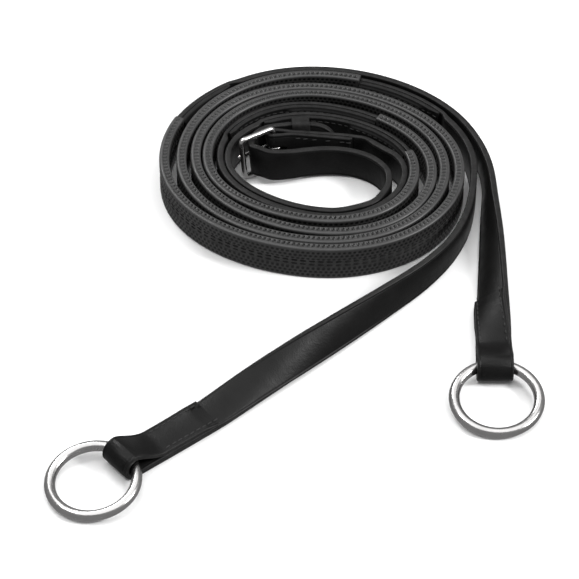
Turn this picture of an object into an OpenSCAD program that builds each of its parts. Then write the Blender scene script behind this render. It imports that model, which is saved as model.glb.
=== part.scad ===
// A pair of riding reins with rubber grips, coiled on edge, with a steel ring
// on each front end and a buckle joining the two rear ends.
// Millimetres, +Z up, origin at the middle of the base.

/* [Leather] */
// Width of the leather
leather_w = 16; // [14:0.5:18]
// Thickness of the full leather
leather_t = 3.2; // [2.4:0.1:3.6]
// Thickness of a ply where it is skived for a lap or a fold
ply_t = 2.2; // [1.6:0.1:2.4]
// Space left between two plies that are sewn together
ply_gap = 0.15; // [0.1:0.05:0.3]

/* [Grip] */
// Width of the rubber grip
grip_w = 18; // [17:0.5:20]
// Thickness of the rubber grip
grip_t = 4.8; // [4:0.1:5.2]
// Width of the webbing core
core_w = 13; // [10:0.5:14]
// Thickness of the webbing core
core_t = 2.2; // [1.6:0.1:2.4]
// Width of the valley that the grip seam lies in
valley_w = 4; // [3:0.5:6]
// Depth of that valley
valley_depth = 0.6; // [0.4:0.1:0.8]

/* [Rings] */
// Outer diameter of a rein ring
ring_od = 42; // [36:1:50]
// Thickness of the ring's round bar
ring_bar = 4.8; // [4:0.2:5]
// Thickness of the leather where it turns round the ring
fold_t = 2.6; // [2:0.1:3]
// Inner radius of the leather turned round the ring
fold_r = 3.8; // [3.7:0.05:4.2]

/* [Buckle] */
// Thickness of the buckle's wire
wire_d = 2.6; // [2:0.1:3]
// Clear height inside the buckle frame
frame_gap = 17; // [16.6:0.2:19]
// Distance from the buckle's hinge bar to its end bar
frame_reach = 17.8; // [16.4:0.2:20]
// Thickness of the prong
prong_d = 2; // [1.6:0.1:2.2]
// Length of the keeper along the strap
keeper_l = 8.5; // [6:0.5:14]
// Thickness of the keeper's leather
keeper_t = 1.4; // [1:0.1:1.8]

/* [Thread] */
// Thickness of the thread
thread_d = 0.8; // [0.5:0.1:1]
// Distance from one stitch to the next
stitch_pitch = 4; // [3:0.5:6]
// Distance from a row of stitches to the leather's edge
stitch_inset = 2.2; // [1.8:0.1:3]

/* [Hidden] */

$fn = 48;

// The coil's centre in the part's frame, so that the origin is the middle of the base.
coil_x = 10.3;
coil_y = 69.2;

// Each rein winds inwards. Its middle line's distance from the coil's centre is given
// at every half turn: sideways from 0 degrees, and lengthways from -90 degrees.
right_sideways = [78.5, 72.7, 65.5, 57.8, 52.2, 46, 39.4, 37];
right_lengthways = [72, 69.5, 59, 54, 47.8, 42.1, 35.4, 19];
left_sideways = [72.8, 64.7, 58.6, 52.2, 44.1, 42.4, 36, 34];
left_lengthways = [68, 63.4, 53.8, 49, 39.8, 34.4, 31.4, 20];
// The oval is this much fuller towards the far left and the near right.
skew = 0.012;
// That fullness grows by this much with each turn.
skew_growth = 0.028;
// Angle between two stations of the winding
wind_step = 5;
RIGHT = [right_sideways, right_lengthways];
LEFT = [left_sideways, left_lengthways];

// Where each grip starts and ends, where its core ends, and where its laps end.
right_grip = [153, 773];
right_core = [130, 825];
right_laps = [125, 870];
left_grip = [73, 731];
left_core = [45, 785];
left_laps = [35, 845];

// Distances of a ply's two faces from the strap's middle.
half = leather_t / 2;
near = ply_gap / 2;
far = near + ply_t;
core_near = core_t / 2 + near;
core_far = core_near + ply_t;

// A strap's middle line is held as [x, y, lift, width direction]: the strap stands on
// its edge, leans by an angle towards an azimuth, and is lifted off the floor.
right_azimuth = 0;
left_azimuth = 131.3;
buckle_azimuth = 115;
buckle_lean = 12;

// The right rein from its ring to the coil.
right_tail = [
    turned(76.5, -123.5, 0, 90, right_azimuth),
    turned(77, -107.5, 0, 90, right_azimuth),
    turned(77.5, -91.5, 0, 64, right_azimuth),
    turned(78, -75.5, 0, 50, right_azimuth),
    turned(79, -46, 0, 34, right_azimuth),
    turned(79.3, -22, 0, 19, right_azimuth),
    turned(79.3, 0, 0, 6, right_azimuth),
    wound(RIGHT, 15),
    wound(RIGHT, 30),
    wound(RIGHT, 45)
];

// The left rein from its ring to the coil.
left_tail = [
    turned(-84, -177, 0, 90, left_azimuth),
    turned(-71.4, -167, 0, 90, left_azimuth),
    turned(-58.8, -157, 0, 88, left_azimuth),
    turned(-46.2, -147, 0, 80, left_azimuth),
    turned(-28, -131.5, 0, 65, left_azimuth),
    turned(-10, -117, 0, 47, left_azimuth),
    turned(8, -102.5, 0, 30, left_azimuth),
    turned(29, -84.5, 0, 15, left_azimuth),
    turned(48, -66.5, 0, 5, left_azimuth),
    turned(61.5, -48, 0, 0, left_azimuth),
    turned(69.5, -27, 0, 0, left_azimuth),
    wound(LEFT, 0),
    wound(LEFT, 15)
];

// The buckle's hinge bar, and the direction from it to the end bar.
hinge_x = -20.9;
hinge_y = 17.7;
hinge_z = 11;
reach_angle = 213.6;
bar_up = width_dir(buckle_lean, buckle_azimuth);
bar_flat = [cos(reach_angle), sin(reach_angle), 0];
bar_out = unit(bar_flat - (bar_flat * bar_up) * bar_up);
bar_side = cross(bar_out, bar_up);
bar_spot = [coil_x + hinge_x, coil_y + hinge_y, hinge_z];
bar_rest = leather_w / 2 * cos(buckle_lean) + half * sin(buckle_lean);

// The right rein from the coil to the hinge bar.
chape = [
    wound(RIGHT, 1080),
    wound(RIGHT, 1095),
    wound(RIGHT, 1110),
    turned(23.5, 16.4, 0, 1, buckle_azimuth),
    turned(16.5, 17.9, 0.2, 2, buckle_azimuth),
    turned(12, 18.4, 0.4, 3, buckle_azimuth),
    turned(-1, 18.3, 1.4, 8, buckle_azimuth),
    turned(-9, 18.1, 2.2, 11, buckle_azimuth),
    turned(-14.5, 17.9, 2.6, 12, buckle_azimuth),
    buckled(hinge_x, hinge_y)
];

// The left rein from the coil, through the buckle, to its tip.
billet = [
    wound(LEFT, 975),
    wound(LEFT, 990),
    wound(LEFT, 1005),
    turned(23.6, -26.8, 0, 0, buckle_azimuth),
    turned(29, -20.8, 0, 0, buckle_azimuth),
    turned(32.3, -13, 0, 0, buckle_azimuth),
    turned(32, -5, 0, 0, buckle_azimuth),
    turned(28.4, 1.2, 0, 0, buckle_azimuth),
    turned(22.5, 6, 0.2, 0, buckle_azimuth),
    turned(14, 9, 0.6, 0, buckle_azimuth),
    turned(4, 9.4, 1.2, 1, buckle_azimuth),
    turned(-6, 7.6, 1.8, 2, buckle_azimuth),
    turned(-14, 5.4, 2.3, 5, buckle_azimuth),
    turned(-22.4, 4.4, 2.8, 10, buckle_azimuth),
    buckled(-27.8, 4.8),
    buckled(-30.9, 7.2),
    buckled(-31.2, 11.3),
    buckled(-30.3, 15.6),
    buckled(-27.9, 20),
    buckled(-23.5, 23.3),
    turned(-16, 24.2, 2.2, 11, buckle_azimuth),
    turned(-8, 24.8, 2.3, 10, buckle_azimuth),
    turned(0, 24.9, 1.8, 9, buckle_azimuth),
    turned(8, 24.4, 0.9, 6, buckle_azimuth)
];

// Stations between two of a route's points
route_steps = 4;
// Stations that carry the end turned back at a ring
lap_steps = 11;
// Stations over which the turned-back end comes down onto the strap
fall_steps = 4;

// Rein rings
ring_r = (ring_od - ring_bar) / 2;
fold_out = fold_r + fold_t;
ring_reach = ring_r - 1.05;
ring_dip = 6.2;

// The chape's turn round the hinge bar
bar_r = wire_d / 2;
turn_in = bar_r + 0.35;
turn_out = turn_in + ply_t;
bar_half = (frame_gap + wire_d) / 2;
prong_off = bar_r + prong_d / 2 + 0.35;
prong_l = frame_reach + 0.4;
slot_h = prong_d + 1;

// Stitches
stitch_l = stitch_pitch * 0.65;
stitch_t = 0.06;
stitch_off = 0.08;
loop_stitch_off = 0.36;
seam_t = 0.3;
stitch_row = leather_w / 2 - stitch_inset;
ramp_clear = 4.5;

function unit(v) = v / norm(v);
function ease(a, b, f) = a + (b - a) * (1 - cos(180 * f)) / 2;
function width_dir(lean, az) = [sin(lean) * cos(az), sin(lean) * sin(az), cos(lean)];

// A route point given from the coil's centre.
function turned(x, y, lift, lean, az) =
    concat([coil_x + x, coil_y + y, lift], width_dir(lean, az));

// A route point in the buckle's own mid plane.
function buckled(x, y) =
    let (u = width_dir(buckle_lean, buckle_azimuth))
    let (z = hinge_z - ((x - hinge_x) * u[0] + (y - hinge_y) * u[1]) / u[2])
    concat([coil_x + x, coil_y + y, z - bar_rest], u);

// The winding: a value at half turn number x, and the middle line at angle a.
function wind(list, x) =
    let (k = min(max(floor(x), 0), len(list) - 2))
    ease(list[k], list[k + 1], min(max(x - k, 0), 1));
function coil(rein, a) =
    let (f = 1 - (skew + skew_growth * a / 360) * sin(2 * a))
    [
        coil_x + wind(rein[0], a / 180) * f * cos(a),
        coil_y + wind(rein[1], (a + 90) / 180) * f * sin(a)
    ];
function wound(rein, a) = concat(coil(rein, a), [0, 0, 0, 1]);

// A smooth line through the points of a route.
function between(c, i, f) =
    let (a = c[max(i - 1, 0)], b = c[i], d = c[i + 1], e = c[min(i + 2, len(c) - 1)])
    (2 * b + (d - a) * f + (2 * a - 5 * b + 4 * d - e) * f * f
    + (3 * b - a - 3 * d + e) * f * f * f) / 2;
function spots(c, first, last) =
    [for (i = [first : last - 1]) for (k = [0 : route_steps - 1]) between(c, i, k / route_steps), c[last]];

// A frame is [middle, width direction, face direction, running direction].
function frames(p) =
    [for (i = [0 : len(p) - 1])
        let (a = p[max(i - 1, 0)], b = p[min(i + 1, len(p) - 1)])
        let (w = unit([p[i][3], p[i][4], p[i][5]]))
        let (h = unit([b[0] - a[0], b[1] - a[1], 0]))
        let (t = unit(h - (h * w) * w))
        let (s = sqrt(max(0, 1 - w[2] * w[2])))
        [
            [p[i][0], p[i][1], leather_w / 2 * abs(w[2]) + half * s + p[i][2]],
            w, cross(w, t), t
        ]
    ];
function coil_frame(rein, a) =
    let (p = coil(rein, a), t = unit(coil(rein, a + 0.5) - coil(rein, a - 0.5)))
    [[p[0], p[1], leather_w / 2], [0, 0, 1], [-t[1], t[0], 0], [t[0], t[1], 0]];
function steps(from, to) =
    let (first = ceil((from + 0.5) / wind_step), last = floor((to - 0.5) / wind_step))
    [from, for (k = [first : last]) k * wind_step, to];
function part_of(list, first, last) = [for (i = [first : last]) list[i]];

// A station is [frame, outer face, inner face, share of the full width].
function stations(fs, out, in) = [for (f = fs) [f, out, in, 1]];
function coil_stations(rein, from, to, out, in) =
    [for (a = steps(from, to)) [coil_frame(rein, a), lookup(a, out), lookup(a, in), 1]];
function corners(s) =
    let (p = s[0][0], w = s[0][1] * leather_w / 2 * s[3], n = s[0][2])
    [p + n * s[1] - w, p + n * s[1] + w, p + n * s[2] + w, p + n * s[2] - w];

// A turn of the leather about an axis: stations with their own face directions.
function turn(f, middle, dir, from, to, r_out, r_in) =
    [for (a = [from : (to - from) / 12 : to])
        [[middle, f[1], f[2] * sin(a) + dir * cos(a), f[3]], r_out, r_in, 1]
    ];

// A strip of leather through its stations.
module strip(s, flip = false) {
    last = 4 * (len(s) - 1);
    pts = [for (k = s) each corners(k)];
    sides = [for (k = [0 : len(s) - 2]) for (i = [0 : 3])
        let (a = 4 * k + i, b = 4 * k + (i + 1) % 4)
        each [[a, b, b + 4], [a, b + 4, a + 4]]
    ];
    ends = [[2, 1, 0], [3, 2, 0], [last, last + 1, last + 2], [last, last + 2, last + 3]];
    faces = concat(sides, ends);
    polyhedron(pts, flip ? [for (f = faces) [f[2], f[1], f[0]]] : faces, convexity = 12);
}

// A flat-edged band along the winding.
module band(rein, from, to, out, in, z0, z1) {
    a = steps(from, to);
    n = len(a) - 1;
    fs = [for (k = a) coil_frame(rein, k)];
    outer = [for (i = [0 : n]) fs[i][0] + fs[i][2] * lookup(a[i], out)];
    inner = [for (i = [n : -1 : 0]) fs[i][0] + fs[i][2] * lookup(a[i], in)];
    translate([0, 0, z0])
        linear_extrude(z1 - z0)
            polygon([for (p = concat(outer, inner)) [p[0], p[1]]]);
}

// Puts children on a frame: x along the strap, y off its face, z across its width.
module on_frame(f, middle) {
    multmatrix([
        [f[3][0], f[2][0], f[1][0], middle[0]],
        [f[3][1], f[2][1], f[1][1], middle[1]],
        [f[3][2], f[2][2], f[1][2], middle[2]],
        [0, 0, 0, 1]
    ])
        children();
}

module stitch(f, off, up) {
    on_frame(f, f[0])
        translate([0, off + sign(off) * stitch_t / 2, up])
            cube([stitch_l, stitch_t, thread_d], center = true);
}

function pace(rein, a) = norm(coil(rein, a + 0.5) - coil(rein, a - 0.5));
function stitch_angles(rein, a, to) =
    a > to ? [] : concat([a], stitch_angles(rein, a + stitch_pitch / pace(rein, a), to));

// The rows of stitches on a lap's two faces, left out where the plies ramp apart.
module lap_stitches(rein, from, to, ramp, out, in) {
    for (a = stitch_angles(rein, from + 2, to - 2)) {
        if (abs(a - ramp) > ramp_clear) {
            for (up = [-stitch_row, stitch_row]) {
                stitch(coil_frame(rein, a), lookup(a, out) - stitch_off, up);
                stitch(coil_frame(rein, a), lookup(a, in) + stitch_off, up);
            }
        }
    }
}

// Faces of the main ply and the lap ply, by angle, from full leather to the grip.
function main_out(laps, core) = [
    [laps[0] - 5, -half], [laps[0], -far], [core[0] - 5, -far], [core[0], -core_far],
    [core[1], -core_far], [core[1] + 5, -far], [laps[1], -far], [laps[1] + 5, -half]
];
function main_in(laps, core) = [
    [laps[0] - 5, half], [laps[0], -near], [core[0] - 5, -near], [core[0], -core_near],
    [core[1], -core_near], [core[1] + 5, -near], [laps[1], -near], [laps[1] + 5, half]
];
function lap_in(core) = [
    [core[0] - 5, near], [core[0], core_near], [core[1], core_near], [core[1] + 5, near]
];
function lap_out(core) = [
    [core[0] - 5, far], [core[0], core_far], [core[1], core_far], [core[1] + 5, far]
];

function front_strap(tail, last, coil_from, rein, laps, core, grip, up) =
    let (fs = frames(spots(tail, 0, last)))
    let (f0 = fs[0], axis = f0[0] + f0[2] * up * (fold_out - half))
    let (rise = fold_out + fold_r - half)
    concat(
        [for (i = [lap_steps : -1 : 1])
            let (f = min(i / fall_steps, 1), low = ease(rise, half + ply_gap, f))
            [fs[i], up * (low + ease(fold_t, ply_t, f)), up * low, 1]
        ],
        turn(f0, axis, -f0[3], 90 * up, -90 * up, fold_out, fold_r),
        [for (i = [1 : len(fs) - 2])
            [fs[i], -up * half, up * min(half, fold_t - half + i * 0.3), 1]
        ],
        [for (a = steps(coil_from, grip[0] - 0.3))
            let (o = lookup(a, main_out(laps, core)), n = lookup(a, main_in(laps, core)))
            [coil_frame(rein, a), up > 0 ? o : n, up > 0 ? n : o, 1]
        ]
    );

module loop_stitches(tail, up) {
    fs = frames(spots(tail, 0, 4));
    for (i = [fall_steps + 1 : lap_steps - 1]) {
        for (row = [-stitch_row, stitch_row]) {
            stitch(fs[i], up * (half + ply_gap + ply_t + loop_stitch_off), row);
        }
    }
}

module ring(f0, up) {
    axis = f0[0] + f0[2] * up * (fold_out - half);
    side = f0[3] * -1;
    level = [side * cos(ring_dip) - f0[2] * up * sin(ring_dip), f0[1]];
    tilted = [axis, f0[1], cross(f0[1], level[0]), level[0]];
    on_frame(tilted, axis + level[0] * ring_reach)
        rotate([90, 0, 0])
            rotate_extrude()
                translate([ring_r, 0])
                    circle(d = ring_bar);
}

module grip_core(rein, core) {
    flat_out = [[0, -core_t / 2]];
    flat_in = [[0, core_t / 2]];
    z0 = (leather_w - core_w) / 2 + 1;
    band(rein, core[0], core[1], flat_out, flat_in, z0, z0 + core_w - 1);
}

// The cover's section: its outside with a valley in each face, then the core's room.
// Each point is [distance off the middle, height].
function cover_section() =
    let (t = grip_t / 2, v = t - valley_depth, r = core_t / 2 + 0.1)
    let (a = (grip_w - valley_w) / 2, b = (grip_w + valley_w) / 2)
    let (z0 = (leather_w - core_w) / 2 + 0.9, z1 = z0 + core_w - 0.8)
    [
        [-t, 0], [-t, a], [-v, a], [-v, b], [-t, b], [-t, grip_w],
        [t, grip_w], [t, b], [v, b], [v, a], [t, a], [t, 0],
        [-r, z0], [-r, z1], [r, z1], [r, z0]
    ];
// Triangles that close the section's ends.
cover_ends = [
    [0, 1, 12], [1, 2, 12], [2, 3, 12], [3, 13, 12], [3, 4, 13], [4, 5, 13], [5, 6, 13], [6, 14, 13],
    [6, 7, 14], [7, 8, 14], [8, 9, 14], [9, 15, 14], [9, 10, 15], [10, 11, 15], [11, 0, 15], [0, 12, 15]
];

module grip_cover(rein, grip) {
    a = steps(grip[0], grip[1]);
    sec = cover_section();
    m = len(sec);
    last = m * (len(a) - 1);
    pts = [for (k = a) let (f = coil_frame(rein, k)) for (q = sec)
        [f[0][0] + f[2][0] * q[0], f[0][1] + f[2][1] * q[0], q[1]]
    ];
    outside = [for (k = [0 : len(a) - 2]) for (i = [0 : 11])
        let (u = m * k + i, v = m * k + (i + 1) % 12)
        each [[u, v, v + m], [u, v + m, u + m]]
    ];
    inside = [for (k = [0 : len(a) - 2]) for (i = [0 : 3])
        let (u = m * k + 12 + i, v = m * k + 12 + (i + 1) % 4)
        each [[v + m, v, u], [u + m, v + m, u]]
    ];
    front = [for (t = cover_ends) [t[2], t[1], t[0]]];
    rear = [for (t = cover_ends) [t[0] + last, t[1] + last, t[2] + last]];
    polyhedron(pts, concat(outside, inside, front, rear), convexity = 16);
}

module grip_seam(rein, grip) {
    low = grip_t / 2 - valley_depth + 0.02;
    for (z = [grip_w / 2 - 1, grip_w / 2 + 1]) {
        for (o = [-low - seam_t, low]) {
            band(rein, grip[0] + 1, grip[1] - 1, [[0, o]], [[0, o + seam_t]],
                z - thread_d / 2, z + thread_d / 2);
        }
    }
}

module lap_ply(rein, from, to, core) {
    band(rein, from, to, lap_in(core), lap_out(core), 0, leather_w);
}

module right_ring() {
    color([0.8, 0.8, 0.82])
        ring(frames(spots(right_tail, 0, 1))[0], 1);
}

module right_front_strap() {
    color([0.12, 0.11, 0.11])
        strip(front_strap(right_tail, 8, 30, RIGHT, right_laps, right_core, right_grip, 1));
}

module right_front_lap() {
    color([0.14, 0.13, 0.13])
        lap_ply(RIGHT, right_laps[0], right_grip[0] - 0.3, right_core);
}

module right_grip_core() {
    color([0.1, 0.1, 0.1])
        grip_core(RIGHT, right_core);
}

module right_grip_cover() {
    color([0.22, 0.22, 0.22])
        grip_cover(RIGHT, right_grip);
}

module right_grip_seam() {
    color([0.16, 0.16, 0.16])
        grip_seam(RIGHT, right_grip);
}

module right_rear_lap() {
    color([0.14, 0.13, 0.13])
        lap_ply(RIGHT, right_grip[1] + 0.3, right_laps[1], right_core);
}

function chape_frames() = frames(spots(chape, 1, 9));
function rear_strap() =
    let (fs = chape_frames(), n = len(fs) - 1, f1 = fs[n], back = 5 * route_steps)
    concat(
        coil_stations(RIGHT, right_grip[1] + 0.3, 1095,
            main_out(right_laps, right_core), main_in(right_laps, right_core)),
        [for (i = [1 : n - 1])
            let (g = min(max((i - n + back + 6) / 4, 0), 1))
            let (e = min(max((i - n + 6) / 6, 0), 1))
            [
                fs[i],
                g < 1 ? ease(-half, -far, g) : ease(-far, -turn_out, e),
                g < 1 ? ease(half, -near, g) : ease(-near, -turn_in, e), 1
            ]
        ],
        turn(f1, f1[0], f1[3], -90, 90, turn_out, turn_in),
        [for (i = [n - 1 : -1 : n - back + 1])
            let (e = min(max((i - n + 6) / 6, 0), 1))
            [fs[i], ease(far, turn_out, e), ease(near, turn_in, e), 1]
        ]
    );

module right_rear_strap() {
    color([0.12, 0.11, 0.11])
        difference() {
            strip(rear_strap());
            prong_slot();
        }
}

module prong_slot() {
    fs = chape_frames();
    f = fs[len(fs) - 1];
    on_frame(f, f[0])
        cube([12, 12, slot_h], center = true);
}

module right_loop_stitches() {
    color([0.16, 0.15, 0.15])
        loop_stitches(right_tail, 1);
}

module right_front_lap_stitches() {
    color([0.16, 0.15, 0.15])
        lap_stitches(RIGHT, right_laps[0], right_grip[0], right_core[0] - 2.5,
            main_out(right_laps, right_core), lap_out(right_core));
}

module right_rear_lap_stitches() {
    color([0.16, 0.15, 0.15])
        lap_stitches(RIGHT, right_grip[1], right_laps[1], right_core[1] + 2.5,
            main_out(right_laps, right_core), lap_out(right_core));
}

module left_ring() {
    color([0.8, 0.8, 0.82])
        ring(frames(spots(left_tail, 0, 1))[0], -1);
}

module left_front_strap() {
    color([0.12, 0.11, 0.11])
        strip(front_strap(left_tail, 11, 0, LEFT, left_laps, left_core, left_grip, -1), flip = true);
}

module left_front_lap() {
    color([0.14, 0.13, 0.13])
        lap_ply(LEFT, left_laps[0], left_grip[0] - 0.3, left_core);
}

module left_grip_core() {
    color([0.1, 0.1, 0.1])
        grip_core(LEFT, left_core);
}

module left_grip_cover() {
    color([0.22, 0.22, 0.22])
        grip_cover(LEFT, left_grip);
}

module left_grip_seam() {
    color([0.16, 0.16, 0.16])
        grip_seam(LEFT, left_grip);
}

module left_rear_lap() {
    color([0.14, 0.13, 0.13])
        lap_ply(LEFT, left_grip[1] + 0.3, left_laps[1], left_core);
}

function billet_frames() = frames(spots(billet, 1, 23));
function tip_share(k) = lookup(k, [[0, 0.3], [1, 0.62], [2, 0.82], [3, 0.95], [4, 1]]);
function billet_strap() =
    let (fs = billet_frames(), n = len(fs) - 1)
    concat(
        coil_stations(LEFT, left_grip[1] + 0.3, 990,
            main_out(left_laps, left_core), main_in(left_laps, left_core)),
        [for (i = [1 : n]) [fs[i], -half, half, tip_share(n - i)]]
    );

module left_billet_strap() {
    color([0.12, 0.11, 0.11])
        difference() {
            strip(billet_strap());
            prong_hole();
            spare_hole();
        }
}

module prong_hole() {
    on_buckle(4, prong_off + 0.43)
        rotate([0, 90, 0])
            scale([1.6, 2.4, 1])
                cylinder(r = 1, h = 11);
}

module spare_hole() {
    fs = billet_frames();
    f = fs[len(fs) - 8];
    on_frame(f, f[0])
        rotate([90, 0, 0])
            cylinder(d = 3, h = 2 * leather_t, center = true);
}

module left_loop_stitches() {
    color([0.16, 0.15, 0.15])
        loop_stitches(left_tail, -1);
}

module left_front_lap_stitches() {
    color([0.16, 0.15, 0.15])
        lap_stitches(LEFT, left_laps[0], left_grip[0], left_core[0] - 2.5,
            main_out(left_laps, left_core), lap_out(left_core));
}

module left_rear_lap_stitches() {
    color([0.16, 0.15, 0.15])
        lap_stitches(LEFT, left_grip[1], left_laps[1], left_core[1] + 2.5,
            main_out(left_laps, left_core), lap_out(left_core));
}

// Buckle axes: x from the hinge bar to the end bar, y to the far side, z up the bar.
module on_buckle(x, y) {
    f = [bar_spot, bar_up, bar_side, bar_out];
    on_frame(f, bar_spot + bar_out * x + bar_side * y)
        children();
}

module buckle_frame() {
    color([0.8, 0.8, 0.82])
        on_buckle(0, 0) {
            for (x = [0, frame_reach]) {
                translate([x, 0, 0])
                    cylinder(r = bar_r, h = 2 * bar_half, center = true);
            }
            for (z = [-bar_half, bar_half]) {
                translate([0, 0, z])
                    rotate([0, 90, 0])
                        cylinder(r = bar_r, h = frame_reach);
                for (x = [0, frame_reach]) {
                    translate([x, 0, z])
                        sphere(r = bar_r);
                }
            }
        }
}

module buckle_prong() {
    color([0.8, 0.8, 0.82])
        on_buckle(0, 0) {
            rotate_extrude(start = 90, angle = 270)
                translate([prong_off, 0])
                    circle(d = prong_d);
            translate([0, prong_off, 0])
                rotate([0, 90, 0])
                    cylinder(d = prong_d, h = prong_l);
            translate([prong_l, prong_off, 0])
                sphere(d = prong_d);
        }
}

module keeper() {
    fs = billet_frames();
    f = fs[len(fs) - 9];
    high = leather_w + 0.6;
    deep = leather_t + 1.8;
    color([0.13, 0.12, 0.12])
        on_frame(f, f[0])
            rotate([0, 90, 0])
                linear_extrude(keeper_l, center = true)
                    difference() {
                        square([high + 2 * keeper_t, deep + 2 * keeper_t], center = true);
                        square([high, deep], center = true);
                    }
}

module chape_stitches() {
    fs = chape_frames();
    n = len(fs) - 1;
    color([0.16, 0.15, 0.15])
        for (i = [n - 5 * route_steps + 2 : 2 : n - 6]) {
            for (row = [-stitch_row, stitch_row]) {
                stitch(fs[i], far + loop_stitch_off, row);
            }
        }
}

right_ring();
right_front_strap();
right_front_lap();
right_grip_core();
right_grip_cover();
right_grip_seam();
right_rear_lap();
right_rear_strap();
right_loop_stitches();
right_front_lap_stitches();
right_rear_lap_stitches();
left_ring();
left_front_strap();
left_front_lap();
left_grip_core();
left_grip_cover();
left_grip_seam();
left_rear_lap();
left_billet_strap();
left_loop_stitches();
left_front_lap_stitches();
left_rear_lap_stitches();
buckle_frame();
buckle_prong();
keeper();
chape_stitches();
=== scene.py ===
import bmesh
import bpy
import math
import numpy as np
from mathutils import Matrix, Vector


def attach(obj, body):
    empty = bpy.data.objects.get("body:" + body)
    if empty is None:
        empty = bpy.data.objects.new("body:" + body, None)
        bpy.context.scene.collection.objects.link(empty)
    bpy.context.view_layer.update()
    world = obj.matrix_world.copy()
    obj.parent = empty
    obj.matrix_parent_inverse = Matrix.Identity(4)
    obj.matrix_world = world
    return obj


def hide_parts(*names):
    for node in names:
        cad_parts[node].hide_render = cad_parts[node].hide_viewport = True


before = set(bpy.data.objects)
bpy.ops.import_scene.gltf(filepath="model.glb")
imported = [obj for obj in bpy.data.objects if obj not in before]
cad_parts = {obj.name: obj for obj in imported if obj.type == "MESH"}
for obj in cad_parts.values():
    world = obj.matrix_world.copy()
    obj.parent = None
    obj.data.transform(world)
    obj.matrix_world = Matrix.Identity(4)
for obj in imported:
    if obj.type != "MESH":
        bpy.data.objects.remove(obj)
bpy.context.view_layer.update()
# Sizes and places are in millimetres, and become metres where a mesh is made.
MM = 0.001

# ---------------------------------------------------------------- camera first
CAMERA_PITCH = math.radians(44.5)
CAMERA_DISTANCE = 1.25
AIM = np.array([-3.6, 0.7, 0.0]) * MM
cam_data = bpy.data.cameras.new("camera")
cam_data.sensor_width = 36.0
cam_data.lens = 170.4
cam_data.clip_end = 20.0
cam = bpy.data.objects.new("camera", cam_data)
bpy.context.scene.collection.objects.link(cam)
cam.location = AIM + CAMERA_DISTANCE * np.array([0.0, -math.cos(CAMERA_PITCH), math.sin(CAMERA_PITCH)])
cam.rotation_euler = (math.pi / 2 - CAMERA_PITCH, 0.0, 0.0)
bpy.context.scene.camera = cam
bpy.context.scene.view_settings.view_transform = "Standard"

# ------------------------------------------------ the same sizes as part.scad
COIL = np.array([10.3, 69.2])
LEATHER_W = 16.0
LEATHER_T = 3.2
PLY_T = 2.2
PLY_GAP = 0.15
GRIP_W = 18.0
GRIP_T = 4.8
CORE_T = 2.2
VALLEY_W = 4.0
VALLEY_DEPTH = 0.6
RING_OD = 42.0
RING_BAR = 4.8
FOLD_T = 2.6
FOLD_R = 3.8
WIRE_D = 2.6
FRAME_GAP = 17.0
FRAME_REACH = 17.8
PRONG_D = 2.0
KEEPER_L = 8.5
KEEPER_T = 1.4
STITCH_PITCH = 4.0
STITCH_INSET = 2.2
# A ply's two faces from the strap's middle, flat on its neighbour and over the grip's core
HALF = LEATHER_T / 2
NEAR = PLY_GAP / 2
FAR = NEAR + PLY_T
CORE_NEAR = CORE_T / 2 + NEAR
CORE_FAR = CORE_NEAR + PLY_T
FOLD_OUT = FOLD_R + FOLD_T
# Each rein's winding: half widths at every half turn, sideways and lengthways
RIGHT = ([78.5, 72.7, 65.5, 57.8, 52.2, 46, 39.4, 37], [72, 69.5, 59, 54, 47.8, 42.1, 35.4, 19])
LEFT = ([72.8, 64.7, 58.6, 52.2, 44.1, 42.4, 36, 34], [68, 63.4, 53.8, 49, 39.8, 34.4, 31.4, 20])
SKEW = 0.012
SKEW_GROWTH = 0.028
# Angles along the winding where grips, cores and laps start and end
R_GRIP, R_CORE, R_LAPS = (153, 773), (130, 825), (125, 870)
L_GRIP, L_CORE, L_LAPS = (73, 731), (45, 785), (35, 845)
# Angle by which a ply's thickness ramps up or down
RAMP = 5


def unit(v):
    return v / np.linalg.norm(v)


def width_dir(lean, az):
    """The strap's width direction when it leans from upright towards an azimuth."""
    lean, az = math.radians(lean), math.radians(az)
    return np.array([math.sin(lean) * math.cos(az), math.sin(lean) * math.sin(az), math.cos(lean)])


def turned(x, y, lift, lean, az):
    """A point of a route, from the coil's centre: place, lift off the floor and width direction."""
    return np.concatenate([[COIL[0] + x, COIL[1] + y, lift], width_dir(lean, az)])


BUCKLE_LEAN, BUCKLE_AZ = 12.0, 115.0
HINGE = np.array([-20.9, 17.7, 11.0])
BAR_UP = width_dir(BUCKLE_LEAN, BUCKLE_AZ)
REACH_AZ = math.radians(213.6)
REACH = np.array([math.cos(REACH_AZ), math.sin(REACH_AZ), 0.0])
BAR_OUT = unit(REACH - REACH.dot(BAR_UP) * BAR_UP)
BAR_SIDE = np.cross(BAR_OUT, BAR_UP)
BAR_SPOT = np.array([COIL[0] + HINGE[0], COIL[1] + HINGE[1], HINGE[2]])
BAR_REST = LEATHER_W / 2 * math.cos(math.radians(BUCKLE_LEAN)) + HALF * math.sin(math.radians(BUCKLE_LEAN))


def buckled(x, y):
    """A point of a route in the plane that the buckle lies across."""
    z = HINGE[2] - ((x - HINGE[0]) * BAR_UP[0] + (y - HINGE[1]) * BAR_UP[1]) / BAR_UP[2]
    return np.concatenate([[COIL[0] + x, COIL[1] + y, z - BAR_REST], BAR_UP])


def wind(values, x):
    """The value at x, in a smooth wave from each half turn's value to the next."""
    k = min(max(int(math.floor(x)), 0), len(values) - 2)
    f = min(max(x - k, 0.0), 1.0)
    return values[k] + (values[k + 1] - values[k]) * (1 - math.cos(math.pi * f)) / 2


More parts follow.
